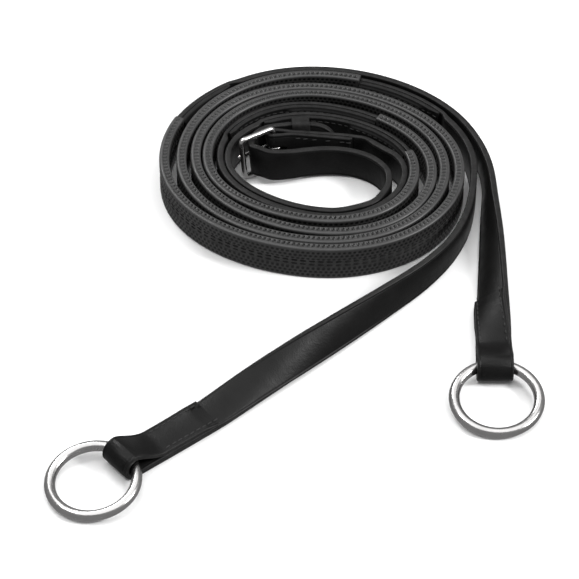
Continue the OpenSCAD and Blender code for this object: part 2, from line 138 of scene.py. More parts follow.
def coil(rein, a):
    """A rein's middle at an angle along its winding."""
    f = 1 - (SKEW + SKEW_GROWTH * a / 360) * math.sin(math.radians(2 * a))
    t = math.radians(a)
    return np.array([COIL[0] + wind(rein[0], a / 180) * f * math.cos(t),
                     COIL[1] + wind(rein[1], (a + 90) / 180) * f * math.sin(t)])


def wound(rein, a):
    """A point of a route that lies on the winding."""
    p = coil(rein, a)
    return np.array([p[0], p[1], 0, 0, 0, 1.0])


def tail(points, az):
    """Points (x, y, lean) of a strap's tail, which lies flat at its ring and stands at the coil."""
    return [turned(x, y, 0, lean, az) for x, y, lean in points]


def rear(points):
    """Points (x, y, lift, lean) of a rear strap between the winding and the buckle."""
    return [turned(x, y, lift, lean, BUCKLE_AZ) for x, y, lift, lean in points]


RIGHT_TAIL = tail([(76.5, -123.5, 90), (77, -107.5, 90), (77.5, -91.5, 64), (78, -75.5, 50), (79, -46, 34),
                   (79.3, -22, 19), (79.3, 0, 6)], 0)
RIGHT_TAIL += [wound(RIGHT, a) for a in (15, 30, 45)]
LEFT_TAIL = tail([(-84, -177, 90), (-71.4, -167, 90), (-58.8, -157, 88), (-46.2, -147, 80),
                  (-28, -131.5, 65), (-10, -117, 47), (8, -102.5, 30), (29, -84.5, 15), (48, -66.5, 5),
                  (61.5, -48, 0), (69.5, -27, 0)], 131.3)
LEFT_TAIL += [wound(LEFT, a) for a in (0, 15)]
CHAPE = [wound(RIGHT, a) for a in (1080, 1095, 1110)]
CHAPE += rear([(23.5, 16.4, 0, 1), (16.5, 17.9, 0.2, 2), (12, 18.4, 0.4, 3), (-1, 18.3, 1.4, 8),
               (-9, 18.1, 2.2, 11), (-14.5, 17.9, 2.6, 12)])
CHAPE += [buckled(HINGE[0], HINGE[1])]
BILLET = [wound(LEFT, a) for a in (975, 990, 1005)]
BILLET += rear([(23.6, -26.8, 0, 0), (29, -20.8, 0, 0), (32.3, -13, 0, 0), (32, -5, 0, 0),
                (28.4, 1.2, 0, 0), (22.5, 6, 0.2, 0), (14, 9, 0.6, 0), (4, 9.4, 1.2, 1),
                (-6, 7.6, 1.8, 2), (-14, 5.4, 2.3, 5), (-22.4, 4.4, 2.8, 10)])
BILLET += [buckled(x, y) for x, y in ((-27.8, 4.8), (-30.9, 7.2), (-31.2, 11.3), (-30.3, 15.6), (-27.9, 20),
                                      (-23.5, 23.3))]
BILLET += rear([(-16, 24.2, 2.2, 11), (-8, 24.8, 2.3, 10), (0, 24.9, 1.8, 9), (8, 24.4, 0.9, 6)])


def spots(c, first, last, n):
    """Points along a route's smooth curve, n to each of its stretches."""
    out = []
    for i in range(first, last):
        a, b, d, e = c[max(i - 1, 0)], c[i], c[i + 1], c[min(i + 2, len(c) - 1)]
        for k in range(n):
            f = k / n
            out.append((2 * b + (d - a) * f + (2 * a - 5 * b + 4 * d - e) * f * f
                        + (3 * b - a - 3 * d + e) * f ** 3) / 2)
    out.append(c[last])
    return np.array(out)


def frames(p):
    """Each frame is (middle, width direction, face direction, running direction)."""
    out = []
    for i in range(len(p)):
        a, b = p[max(i - 1, 0)], p[min(i + 1, len(p) - 1)]
        w = unit(p[i][3:6])
        h = unit(np.array([b[0] - a[0], b[1] - a[1], 0.0]))
        t = unit(h - h.dot(w) * w)
        z = LEATHER_W / 2 * abs(w[2]) + HALF * math.sqrt(max(0.0, 1 - w[2] ** 2)) + p[i][2]
        out.append((np.array([p[i][0], p[i][1], z]), w, np.cross(w, t), t))
    return out


def coil_frame(rein, a):
    p, t = coil(rein, a), unit(coil(rein, a + 0.5) - coil(rein, a - 0.5))
    return (np.array([p[0], p[1], LEATHER_W / 2]), np.array([0, 0, 1.0]),
            np.array([-t[1], t[0], 0.0]), np.array([t[0], t[1], 0.0]))


def eased(x, table):
    """The table's value at x, with rounded ramps between its points."""
    if x <= table[0][0]:
        return table[0][1]
    for (a, u), (b, v) in zip(table, table[1:]):
        if x <= b:
            if b <= a:
                return v
            f = (x - a) / (b - a)
            return u + (v - u) * f * f * (3 - 2 * f)
    return table[-1][1]


def main_out(laps, core):
    """Outer face of the main ply by angle: full leather, lap, over the core, lap, full leather."""
    return [(laps[0] - RAMP, -HALF), (laps[0], -FAR), (core[0] - RAMP + 0.1, -FAR), (core[0], -CORE_FAR),
            (core[1], -CORE_FAR), (core[1] + RAMP, -FAR), (laps[1], -FAR), (laps[1] + RAMP, -HALF)]


def main_in(laps, core):
    """Inner face of the main ply by angle."""
    return [(laps[0] - RAMP, HALF), (laps[0] - 0.4, -NEAR),
            (core[0] - RAMP + 0.1, -NEAR), (core[0], -CORE_NEAR),
            (core[1], -CORE_NEAR), (core[1] + RAMP, -NEAR),
            (laps[1] + 0.4, -NEAR), (laps[1] + RAMP, HALF)]


def lap_in(core):
    """Face of the lap ply that lies on the main ply, by angle."""
    return [(core[0] - RAMP, NEAR), (core[0], CORE_NEAR), (core[1], CORE_NEAR), (core[1] + RAMP, NEAR)]


def lap_out(core):
    """The lap ply's other face, by angle."""
    return [(core[0] - RAMP, FAR), (core[0], CORE_FAR), (core[1], CORE_FAR), (core[1] + RAMP, FAR)]


# ------------------------------------------------------------------ mesh tools
SHARP_ANGLE = math.radians(50)


def add(name, verts, faces, material, body, cad, marks=None):
    """Makes a piece that rides on a body, and stands for the CAD nodes named in cad."""
    mesh = bpy.data.meshes.new(name)
    mesh.from_pydata([tuple(v) for v in np.asarray(verts) * MM], [], faces)
    mesh.update()
    mesh.shade_smooth()
    mesh.set_sharp_from_angle(angle=SHARP_ANGLE)
    for key, values in (marks or {}).items():
        layer = mesh.attributes.new(key, "FLOAT", "POINT")
        layer.data.foreach_set("value", np.asarray(values, dtype=np.float32))
    ob = bpy.data.objects.new(name, mesh)
    bpy.context.scene.collection.objects.link(ob)
    mesh.materials.append(material)
    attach(ob, body)
    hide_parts(*cad)
    return ob


def fix_normals(ob):
    """Turns every face outwards."""
    bm = bmesh.new()
    bm.from_mesh(ob.data)
    bmesh.ops.recalc_face_normals(bm, faces=bm.faces)
    bm.to_mesh(ob.data)
    bm.free()


def tube(rings, closed=False):
    """Quads through rings of equal length, capped unless closed."""
    m, n = len(rings), len(rings[0])
    verts = np.concatenate(rings)
    i, j = np.meshgrid(np.arange(m if closed else m - 1), np.arange(n), indexing="ij")
    a, b = i * n + j, i * n + (j + 1) % n
    c, d = ((i + 1) % m) * n + (j + 1) % n, ((i + 1) % m) * n + j
    faces = np.stack([a, b, c, d], -1).reshape(-1, 4).tolist()
    if not closed:
        faces.append(list(range(n - 1, -1, -1)))
        faces.append([(m - 1) * n + k for k in range(n)])
    return verts, faces


def rounded(half_x, half_y, r, n):
    """A rounded rectangle's outline: [x, y, outward x, outward y], with n + 1 points to a corner."""
    out = []
    for sx, sy, start in ((1, 1, 0), (-1, 1, 90), (-1, -1, 180), (1, -1, 270)):
        for k in range(n + 1):
            q = math.radians(start + 90 * k / n)
            nx, ny = math.cos(q), math.sin(q)
            out.append((sx * (half_x - r) + r * nx, sy * (half_y - r) + r * ny, nx, ny))
    return out


# A strap's rounded corners, and the crease pressed in along each edge
CORNER_R = 0.75
CORNER_SHARE = 0.62
CORNER_STEPS = 4
CREASE_INSET = 1.45
CREASE_HALF_W = 0.3
CREASE_DEPTH = 0.16


def leather_profile(out, inn, width):
    """Section of a strap: [face offset, width offset, edge share]. The corners are rounded off and a
    crease runs along each edge of both faces."""
    mid, ht, hw = (out + inn) / 2, abs(inn - out) / 2, width / 2
    s = 1 if inn > out else -1
    r = min(CORNER_R, ht * CORNER_SHARE)
    pts = []
    for sn in (-1, 1):
        side = []
        for sw in (-1, 1):
            line = []
            for k in range(CORNER_STEPS + 1):
                q = math.pi / 2 * k / CORNER_STEPS
                x = sn * (ht - r + r * math.sin(q))
                z = sw * (hw - r + r * math.cos(q))
                line.append((x, z, 1.0 - 0.75 * k / CORNER_STEPS))
            line += [(sn * ht, sw * (hw - CREASE_INSET + CREASE_HALF_W), 0.1),
                     (sn * (ht - CREASE_DEPTH), sw * (hw - CREASE_INSET), 0.0),
                     (sn * ht, sw * (hw - CREASE_INSET - CREASE_HALF_W), 0.0)]
            side += line if sw < 0 else line[::-1]
        pts += side if sn < 0 else side[::-1]
    pts = np.array(pts)
    return np.column_stack([mid + s * pts[:, 0], pts[:, 1], pts[:, 2]])


# The plies draw together past the webbing's edges: from this far off the middle, over this width.
PINCH_FROM = 6.5
PINCH_OVER = 0.75
# It happens only where the strap stands upright, and only to the ply nearest the webbing.
UPRIGHT = 0.99999
TOUCH = 0.01
# A strap's bend mark is 1 where it turns by 1 radian in this many millimetres or fewer.
FULL_BEND = 4.0


def pinched(pr, out, inn):
    """Draws a ply's edges in to the other ply, past the edges of the webbing between them."""
    nearest = out if abs(out) < abs(inn) else inn
    excess = abs(nearest) - NEAR
    if out * inn <= 0 or excess <= 0 or abs(nearest) > CORE_NEAR + TOUCH:
        return pr
    f = np.clip((np.abs(pr[:, 1]) - PINCH_FROM) / PINCH_OVER, 0, 1)
    pr = pr.copy()
    pr[:, 0] -= math.copysign(excess, nearest) * f * f * (3 - 2 * f)
    return pr


def strap(stations):
    """Mesh of a strap through stations (frame, out, in, share of width), with marks for its material."""
    rings, edge, along, across, bend = [], [], [], [], []
    run, last = 0.0, None
    for f, out, inn, share in stations:
        pr = leather_profile(out, inn, LEATHER_W * share)
        if f[1][2] > UPRIGHT:
            pr = pinched(pr, out, inn)
        ring = f[0] + np.outer(pr[:, 0], f[2]) + np.outer(pr[:, 1], f[1])
        middle = f[0] + f[2] * (out + inn) / 2
        turning = 0.0
        if last is not None:
            step = max(np.linalg.norm(middle - last[0]), 0.01)
            run += step
            turning = min(np.linalg.norm(f[2] - last[1]) / step * FULL_BEND, 1.0)
        last = (middle, f[2])
        rings.append(ring)
        edge.append(pr[:, 2])
        along.append(np.full(len(pr), run * MM))
        across.append(pr[:, 1] * MM)
        bend.append(np.full(len(pr), turning))
    verts, faces = tube(rings)
    marks = {"edge": edge, "along": along, "across": across, "bend": bend}
    return verts, faces, {key: np.concatenate(values) for key, values in marks.items()}


# A stitch's girth at places along it, and how far its ends dip into the leather
STITCH_STEPS = np.array([-0.5, -0.44, -0.3, 0.0, 0.3, 0.44, 0.5])
STITCH_GIRTH = np.array([0.2, 0.7, 0.95, 1.0, 0.95, 0.7, 0.2])
STITCH_SIDES = 8
STITCH_DIP = 0.55


def stitch_set(places, length, wide, high):
    """Threads lying on a face: places are (point, running direction, outward direction)."""
    q = np.arange(STITCH_SIDES) * 2 * math.pi / STITCH_SIDES
    verts, faces = [], []
    for k, (p, t, o) in enumerate(places):
        side = np.cross(o, t)
        rings = []
        for x, r in zip(STITCH_STEPS, STITCH_GIRTH):
            mid = p + t * x * length - o * STITCH_DIP * high * abs(2 * x) ** 3
            rings.append(mid + np.outer(np.cos(q) * wide / 2 * r, side) + np.outer(np.sin(q) * high * r, o))
        ends, quads = tube(rings)
        verts.append(ends)
        faces += [[k * len(ends) + v for v in f] for f in quads]
    return np.concatenate(verts), faces


# ------------------------------------------------------------------- materials
def nodes_of(name):
    """A new material, its node tree and its shader."""
    mat = bpy.data.materials.new(name)
    mat.use_nodes = True
    nt = mat.node_tree
    return mat, nt, nt.nodes["Principled BSDF"]


def coords(nt):
    return nt.nodes.new("ShaderNodeTexCoord").outputs["Object"]


def noise(nt, vec, scale, detail=4.0, rough=0.55):
    n = nt.nodes.new("ShaderNodeTexNoise")
    n.inputs["Scale"].default_value = scale
    n.inputs["Detail"].default_value = detail
    n.inputs["Roughness"].default_value = rough
    nt.links.new(vec, n.inputs["Vector"])
    return n.outputs["Fac"]


def ramp(nt, fac, stops):
    """Maps a value through stops of (position, colour)."""
    r = nt.nodes.new("ShaderNodeValToRGB")
    els = r.color_ramp.elements
    while len(els) < len(stops):
        els.new(0.5)
    for e, (pos, col) in zip(els, stops):
        e.position = pos
        e.color = (*col, 1.0)
    nt.links.new(fac, r.inputs["Fac"])
    return r.outputs["Color"]


def put(nt, socket, value):
    """Links an output to a socket, or sets the socket to a colour or a number."""
    if hasattr(value, "is_linked"):
        nt.links.new(value, socket)
    elif isinstance(value, tuple):
        socket.default_value = (*value, 1.0)
    else:
        socket.default_value = value


def mix(nt, fac, a, b):
    m = nt.nodes.new("ShaderNodeMix")
    m.data_type = "RGBA"
    put(nt, m.inputs["Factor"], fac)
    put(nt, m.inputs["A"], a)
    put(nt, m.inputs["B"], b)
    return m.outputs["Result"]


def attribute(nt, name):
    a = nt.nodes.new("ShaderNodeAttribute")
    a.attribute_name = name
    return a.outputs["Fac"]


def bump(nt, height, distance, strength=1.0, normal=None):
    b = nt.nodes.new("ShaderNodeBump")
    b.inputs["Strength"].default_value = strength
    b.inputs["Distance"].default_value = distance
    nt.links.new(height, b.inputs["Height"])
    if normal is not None:
        nt.links.new(normal, b.inputs["Normal"])
    return b.outputs["Normal"]


def math_node(nt, op, *values):
    m = nt.nodes.new("ShaderNodeMath")
    m.operation = op
    for socket, value in zip(m.inputs, values):
        put(nt, socket, value)
    return m.outputs["Value"]


def combine(nt, x, y):
    c = nt.nodes.new("ShaderNodeCombineXYZ")
    nt.links.new(x, c.inputs["X"])
    nt.links.new(y, c.inputs["Y"])
    return c.outputs["Vector"]


def grey(value):
    """A near black or steel grey, a touch warm."""
    return (value, value * 0.985, value * 0.98)


def flat(value):
    return (value, value, value)


def patchy(nt, vec, scale, low, high, detail=4.0, rough=0.55):
    """Soft patches between two colours. The scale is in patches per metre."""
    return ramp(nt, noise(nt, vec, scale, detail, rough), [(0.3, low), (0.7, high)])


def uneven(nt, vec, scale, low, high, detail=4.0):
    """A roughness that wanders between two values."""
    return ramp(nt, noise(nt, vec, scale, detail), [(0.3, flat(low)), (0.75, flat(high))])


CREASES_PER_M = 620.0
CREASE_SPREAD = 130.0
CREASE_BASE = 0.12
CREASE_BENT = 0.75


def creases(nt):
    """Fine lines across a strap, deeper where it bends."""
    along = math_node(nt, "MULTIPLY", attribute(nt, "along"), CREASES_PER_M)
    across = math_node(nt, "MULTIPLY", attribute(nt, "across"), CREASE_SPREAD)
    lines = noise(nt, combine(nt, along, across), 1.0, 3.0, 0.6)
    bent = math_node(nt, "MULTIPLY_ADD", attribute(nt, "bend"), CREASE_BENT, CREASE_BASE)
    return math_node(nt, "MULTIPLY", lines, bent)


def leather_material(name, face, rim, gloss, shine):
    """Black bridle leather: fine pores, mottled dye, creases across it, burnished lighter cut edges."""
    mat, nt, bsdf = nodes_of(name)
    v = coords(nt)
    mottled = patchy(nt, v, 90.0, grey(face * 0.7), grey(face * 1.35), 5.0)
    worn = ramp(nt, noise(nt, v, 260.0, 3.0), [(0.35, grey(rim * 0.7)), (0.7, grey(rim * 1.3))])
    put(nt, bsdf.inputs["Base Color"], mix(nt, attribute(nt, "edge"), mottled, worn))
    put(nt, bsdf.inputs["Roughness"], uneven(nt, v, 150.0, gloss - 0.05, gloss + 0.1))
    pores = nt.nodes.new("ShaderNodeTexVoronoi")
    pores.inputs["Scale"].default_value = 1400.0
    put(nt, pores.inputs["Vector"], v)
    surface = bump(nt, pores.outputs["Distance"], 0.00008, 0.5)
    surface = bump(nt, noise(nt, v, 700.0, 6.0, 0.65), 0.00012, 0.5, surface)
    surface = bump(nt, creases(nt), 0.0005, 0.8, surface)
    put(nt, bsdf.inputs["Normal"], surface)
    bsdf.inputs["Specular IOR Level"].default_value = shine
    return mat


# Painted shade: the colour that the inside of each pit is darkened to.
PAINTED_PIT_SHADE = 0.0012
# Painted highlight: the lighter colour of the rubber's rounded rims.
PAINTED_RIM_SHEEN = 0.042


def rubber_material():
    """Black rubber: dull, with a painted highlight that lightens its rounded rims and painted shade that
    darkens the inside of its pits.
    """
    mat, nt, bsdf = nodes_of("rubber")
    v = coords(nt)
    base = ramp(nt, noise(nt, v, 120.0, 5.0), [(0.3, grey(0.02)), (0.72, grey(0.034))])
    # Painted highlight: the rounded rims are lightened.
    rim_sheened = mix(nt, attribute(nt, "rim"), base, flat(PAINTED_RIM_SHEEN))
    # Painted shade: the pits are darkened towards near black.
    pit_shade = ramp(nt, attribute(nt, "pit"), [(0.08, flat(0.0)), (0.5, flat(1.0))])
    put(nt, bsdf.inputs["Base Color"], mix(nt, pit_shade, rim_sheened, flat(PAINTED_PIT_SHADE)))
    put(nt, bsdf.inputs["Roughness"], uneven(nt, v, 240.0, 0.36, 0.5))
    put(nt, bsdf.inputs["Normal"], bump(nt, noise(nt, v, 1600.0, 4.0, 0.6), 0.00008, 0.45))
    bsdf.inputs["Specular IOR Level"].default_value = 0.45
    return mat


def woven_material(name, dark, light, threads, depth, strength, rough, shine, bands="X"):
    """Thread or webbing: twisted strands in bands."""
    mat, nt, bsdf = nodes_of(name)
    wave = nt.nodes.new("ShaderNodeTexWave")
    wave.bands_direction = bands
    wave.inputs["Scale"].default_value = threads
    put(nt, wave.inputs["Vector"], coords(nt))
    strands = wave.outputs["Fac"]
    put(nt, bsdf.inputs["Base Color"], ramp(nt, strands, [(0.2, grey(dark)), (0.8, grey(light))]))
    put(nt, bsdf.inputs["Normal"], bump(nt, strands, depth, strength))
    bsdf.inputs["Roughness"].default_value = rough
    bsdf.inputs["Specular IOR Level"].default_value = shine
    return mat


def thread_material(name, dark, light):
    return woven_material(name, dark, light, 900.0, 0.00008, 0.7, 0.6, 0.3, "DIAGONAL")


def steel_material():
    """Satin stainless steel with faint rubbing marks."""
    mat, nt, bsdf = nodes_of("steel")
    v = coords(nt)
    put(nt, bsdf.inputs["Base Color"], patchy(nt, v, 60.0, grey(0.42), grey(0.53), 3.0))
    rough = ramp(nt, noise(nt, v, 400.0, 6.0, 0.7), [(0.35, flat(0.2)), (0.75, flat(0.3))])
    put(nt, bsdf.inputs["Roughness"], rough)
    put(nt, bsdf.inputs["Normal"], bump(nt, noise(nt, v, 800.0, 5.0, 0.7), 0.00002, 0.3))
    bsdf.inputs["Metallic"].default_value = 1.0
    return mat


LEATHER = leather_material("leather", 0.004, 0.014, 0.42, 0.17)
LAP = leather_material("lap_leather", 0.0055, 0.012, 0.5, 0.13)
RUBBER = rubber_material()
THREAD = thread_material("thread", 0.008, 0.03)
SEAM = thread_material("seam_thread", 0.002, 0.008)
WEBBING = woven_material("webbing", 0.005, 0.015, 450.0, 0.0001, 0.8, 0.85, 0.2)
STEEL = steel_material()

# --------------------------------------------------------------- leather straps
# Frames to each stretch of a route, and degrees from one frame of the winding to the next
STEPS = 12
WIND_STEP = 1.25
# A strap stops this many degrees short of the rubber.
GRIP_GAP = 0.3
# Share of its thickness that a ply keeps at its pared end
PARED = 0.55
CHAPE_PARED = 0.6


def fold(f, middle, direction, a0, a1, r_out, r_in, n=30):
    """Stations of leather turned round a bar."""
    out = []
    for k in range(n + 1):
        a = math.radians(a0 + (a1 - a0) * k / n)
        face = f[2] * math.sin(a) + direction * math.cos(a)
        out.append(((middle, f[1], face, f[3]), r_out, r_in, 1.0))
    return out


def soft(a, b, f):
    f = min(max(f, 0.0), 1.0)
    return a + (b - a) * (1 - math.cos(math.pi * f)) / 2


def front_strap(route, last, start, rein, laps, core, ends, up):
    """Stations from the end of the loop's lap, round the ring, along the tail and into the grip."""
    fs = frames(spots(route, 0, last, STEPS))
    f0 = fs[0]
    axis = f0[0] + f0[2] * up * (FOLD_OUT - HALF)
    rise = FOLD_OUT + FOLD_R - HALF
    lap_n = int(2.75 * STEPS)
    pared_n = 5
    out = []
    for i in range(lap_n, 0, -1):
        f = min(i / STEPS, 1.0)
        low = soft(rise, HALF + PLY_GAP, f)
        thin = 1.0 - (1.0 - PARED) * max(0.0, (i - lap_n + pared_n) / pared_n)
        out.append((fs[i], up * (low + soft(FOLD_T, PLY_T, f) * thin), up * low, 1.0))
    out += fold(f0, axis, -f0[3], 90 * up, -90 * up, FOLD_OUT, FOLD_R)
    for i in range(1, len(fs) - 2):
        out.append((fs[i], -up * HALF, up * min(HALF, FOLD_T - HALF + i * 0.1), 1.0))
    outer, inner = main_out(laps, core), main_in(laps, core)
    for a in np.append(np.arange(start, ends[0] - 1, WIND_STEP), ends[0] - GRIP_GAP):
        o, n = eased(a, outer), eased(a, inner)
        out.append((coil_frame(rein, a), o if up > 0 else n, n if up > 0 else o, 1.0))
    return out


def make_strap(name, stations, cad, material=LEATHER):
    verts, faces, marks = strap(stations)
    ob = add(name, verts, faces, material, "reins", cad, marks)
    fix_normals(ob)
    return ob


right_front = front_strap(RIGHT_TAIL, 8, 30, RIGHT, R_LAPS, R_CORE, R_GRIP, 1)
left_front = front_strap(LEFT_TAIL, 11, 0, LEFT, L_LAPS, L_CORE, L_GRIP, -1)
make_strap("right_front_leather", right_front, ["right_front_strap"])
make_strap("left_front_leather", left_front, ["left_front_strap"])


def coil_run(rein, a0, a1, outer, inner):
    """Stations of a strap along the winding, between two faces given by angle."""
    angles = np.append(np.arange(a0, a1 - WIND_STEP / 2, WIND_STEP), a1)
    return [(coil_frame(rein, a), eased(a, outer), eased(a, inner), 1.0) for a in angles]


CHAPE_FRAMES = frames(spots(CHAPE, 1, 9, STEPS))
CHAPE_BACK = 5 * STEPS
BAR_CLEAR = 0.35


def rear_strap():
    """Stations from the grip to the buckle, round its bar and back along the strap."""
    fs, n = CHAPE_FRAMES, len(CHAPE_FRAMES) - 1
    end = int(1.5 * STEPS)
    outer, inner = main_out(R_LAPS, R_CORE), main_in(R_LAPS, R_CORE)
    out = coil_run(RIGHT, R_GRIP[1] + GRIP_GAP, 1095, outer, inner)
    turn_in = WIRE_D / 2 + BAR_CLEAR
    turn_out = turn_in + PLY_T
    for i in range(1, n):
        g = (i - n + CHAPE_BACK + end) / STEPS
        e = (i - n + end) / end
        o = soft(-HALF, -FAR, g) if g < 1 else soft(-FAR, -turn_out, e)
        q = soft(HALF, -NEAR, g) if g < 1 else soft(-NEAR, -turn_in, e)
        out.append((fs[i], o, q, 1.0))
    out += fold(fs[n], fs[n][0], fs[n][3], -90, 90, turn_out, turn_in, 20)
    pared_n = 6
    for i in range(n - 1, n - CHAPE_BACK, -1):
        e = (i - n + end) / end
        thin = 1.0 - (1.0 - CHAPE_PARED) * max(0.0, (n - CHAPE_BACK + pared_n - i) / pared_n)
        lo = soft(NEAR, turn_in, e)
        out.append((fs[i], lo + (soft(FAR, turn_out, e) - lo) * thin, lo, 1.0))
    return out


def cut(ob, cutters):
    """Cuts closed tools out of a piece and applies the result."""
    for c in cutters:
        mod = ob.modifiers.new("cut", "BOOLEAN")
        mod.operation = "DIFFERENCE"
        mod.object = c
        mod.solver = "EXACT"
    dg = bpy.context.evaluated_depsgraph_get()
    mesh = bpy.data.meshes.new_from_object(ob.evaluated_get(dg), depsgraph=dg)
    ob.modifiers.clear()
    ob.data = mesh
    for c in cutters:
        bpy.data.objects.remove(c, do_unlink=True)


def pin(centre, axis, up, half_len, r_up, r_side):
    """A closed oval tool along an axis."""
    sides = 32
    q = np.arange(sides) * 2 * math.pi / sides
    oval = np.outer(np.cos(q) * r_side, np.cross(axis, up)) + np.outer(np.sin(q) * r_up, up)
    verts, faces = tube([centre + axis * s * half_len + oval for s in (-1, 1)])
    mesh = bpy.data.meshes.new("tool")
    mesh.from_pydata([tuple(v) for v in np.asarray(verts) * MM], [], faces)
    ob = bpy.data.objects.new("tool", mesh)
    bpy.context.scene.collection.objects.link(ob)
    fix_normals(ob)
    return ob


# The chape has a slot for the prong where it turns round the bar.
chape = make_strap("right_rear_leather", rear_strap(), ["right_rear_strap"])
SLOT_HALF_W = 1.5
SLOT_HALF_L = 6.0
bar_frame = CHAPE_FRAMES[-1]
cut(chape, [pin(bar_frame[0], bar_frame[2], bar_frame[1], SLOT_HALF_L, SLOT_HALF_W, SLOT_HALF_L)])

BILLET_FRAMES = frames(spots(BILLET, 1, 23, STEPS))
POINT_STRETCH = 8.0
POINT_L = 9.0
POINT_SHARE = 0.3


def billet_strap():
    """Stations from the grip to the billet's rounded point."""
    outer, inner = main_out(L_LAPS, L_CORE), main_in(L_LAPS, L_CORE)
    out = coil_run(LEFT, L_GRIP[1] + GRIP_GAP, 990, outer, inner)
    n = len(BILLET_FRAMES) - 1
    for i in range(1, n + 1):
        d = (n - i) / STEPS * POINT_STRETCH
        share = math.sqrt(max(POINT_SHARE ** 2, 1 - (1 - min(d / POINT_L, 1.0)) ** 2))
        out.append((BILLET_FRAMES[i], -HALF, HALF, share))
    return out


def at_buckle(x, y, z=0.0):
    """A place by its distance from the buckle's hinge bar: outwards, sideways and up the bar."""
    return BAR_SPOT + BAR_OUT * x + BAR_SIDE * y + BAR_UP * z


# The billet has the hole that the prong is in, and one spare hole nearer its end.
PRONG_OFF = WIRE_D / 2 + PRONG_D / 2 + BAR_CLEAR
billet = make_strap("left_billet_leather", billet_strap(), ["left_billet_strap"])
SPARE_FROM_END = 21
HOLE_R = 1.5
prong_spot = at_buckle(9.5, PRONG_OFF + 0.43)
spare = BILLET_FRAMES[len(BILLET_FRAMES) - 1 - SPARE_FROM_END]
cut(billet, [pin(prong_spot, BAR_OUT, BAR_UP, 5.5, 1.6, 2.4),
             pin(spare[0], spare[2], spare[1], LEATHER_T, HOLE_R, HOLE_R)])


def lap(name, rein, a0, a1, core, cad, pared_at):
    """The ply that covers a splice. It is pared thin at its free end."""
    near, far = lap_in(core), lap_out(core)
    stations = []
    for a in np.append(np.arange(a0, a1 - 0.6, WIND_STEP), a1):
        lo, hi = eased(a, near), eased(a, far)
        share = PARED + (1.0 - PARED) * min(abs(a - pared_at) / 4.0, 1.0)
        stations.append((coil_frame(rein, a), lo, lo + (hi - lo) * share, 1.0))
    make_strap(name, stations, cad, LAP)


REINS = (("right", RIGHT, R_LAPS, R_CORE, R_GRIP), ("left", LEFT, L_LAPS, L_CORE, L_GRIP))
for side, rein, laps, core, grip_ends in REINS:
    start, end = grip_ends[0] - GRIP_GAP, grip_ends[1] + GRIP_GAP
    lap(side + "_front_lap_leather", rein, laps[0], start, core, [side + "_front_lap"], laps[0])
    lap(side + "_rear_lap_leather", rein, end, laps[1], core, [side + "_rear_lap"], laps[1])


# ----------------------------------------------------------------- rubber grips
def even_angles(rein, a0, a1, step):
    """Angles about a step apart along the winding, and the length run at each."""
    fine = np.linspace(a0, a1, 4000)
    pts = np.array([coil(rein, a) for a in fine])
    run = np.concatenate([[0], np.cumsum(np.linalg.norm(np.diff(pts, axis=0), axis=1))])
    n = max(2, int(round(run[-1] / step)))
    lengths = np.linspace(0, run[-1], n + 1)
    return np.interp(lengths, run, fine), lengths


PLAIN, FACE, EDGE = 0, 1, 2
GRIP_CORNER_R = 1.05
GRIP_CORNER_STEPS = 4
FACE_POINTS = 33
EDGE_POINTS = 9
# Distance between two rows of pits on a face, and of the first row from the middle
FACE_ROW = 1.9
FIRST_ROW = 3.0
# Each edge has one row of pits, this far towards the inner face
EDGE_SHIFT = 0.35
EDGE_ROW = 4.0
VALLEY_SIDE = 0.6
VALLEY_LIP = 0.25


def grip_face(sn):
    out = []
    flat_half = GRIP_W / 2 - GRIP_CORNER_R
    for z in np.linspace(-flat_half, flat_half, FACE_POINTS):
        d = abs(z)
        up_side = min(max((d - (VALLEY_W / 2 - VALLEY_LIP)) / VALLEY_SIDE, 0), 1)
        x = sn * (GRIP_T / 2 - VALLEY_DEPTH * (1 - up_side))
        kind = FACE if VALLEY_W / 2 + 0.4 < d < flat_half - 0.1 else PLAIN
        out.append((x, z, sn, 0.0, kind, (d - FIRST_ROW) / FACE_ROW))
    return out


def grip_corner(sn, sz):
    out = []
    x0, z0 = GRIP_T / 2 - GRIP_CORNER_R, GRIP_W / 2 - GRIP_CORNER_R
    for k in range(1, GRIP_CORNER_STEPS):
        q = math.pi / 2 * k / GRIP_CORNER_STEPS
        nx, nz = math.cos(q), math.sin(q)
        x, z = x0 + GRIP_CORNER_R * nx, z0 + GRIP_CORNER_R * nz
        out.append((sn * x, sz * z, sn * nx, sz * nz, PLAIN, 0.0))
    return out


def grip_edge(sz):
    flat_half = GRIP_T / 2 - GRIP_CORNER_R
    return [(x, sz * GRIP_W / 2, 0.0, sz, EDGE, (x - EDGE_SHIFT) / EDGE_ROW)
            for x in np.linspace(-flat_half, flat_half, EDGE_POINTS)]


def grip_profile():
    """The rubber's section: [face offset, height, outward x, outward z, kind, row coordinate]."""
    pts = grip_face(-1) + grip_corner(-1, 1) + grip_edge(1) + grip_corner(1, 1)[::-1]
    pts += grip_face(1)[::-1] + grip_corner(1, -1) + grip_edge(-1)[::-1] + grip_corner(-1, -1)[::-1]
    return np.array(pts)


# Length of one pit with its ridge, and rings of points to each
PIT = 2.3
PIT_SAMPLES = 5
FACE_PIT_DEPTH = 0.45
EDGE_PIT_DEPTH = 0.7
# Rings at each end of the rubber that have no pits and taper a little
END_RINGS = 4
END_TAPER = 0.15


def pit_shares(pr, s):
    """How deep each point of the section is in a pit, from 0 to 1, at a length along the grip."""
    is_face, is_edge = pr[:, 4] == FACE, pr[:, 4] == EDGE
    row = np.round(pr[:, 5])
    off_row = np.abs(pr[:, 5] - row)
    stagger = np.where(is_face, 0.5 * (np.abs(row) % 2), 0.0)
    off_pit = s / PIT + stagger
    off_pit = np.abs(off_pit - np.round(off_pit))
    along = np.clip(1 - (off_pit / 0.38) ** 2, 0, 1)
    on_face = np.clip(1 - (off_row / 0.42) ** 2, 0, 1)
    on_edge = np.clip(1.6 - 1.6 * (off_row / 0.23) ** 4, 0, 1)
    return along * np.where(is_face, on_face, np.where(is_edge, on_edge, 0))


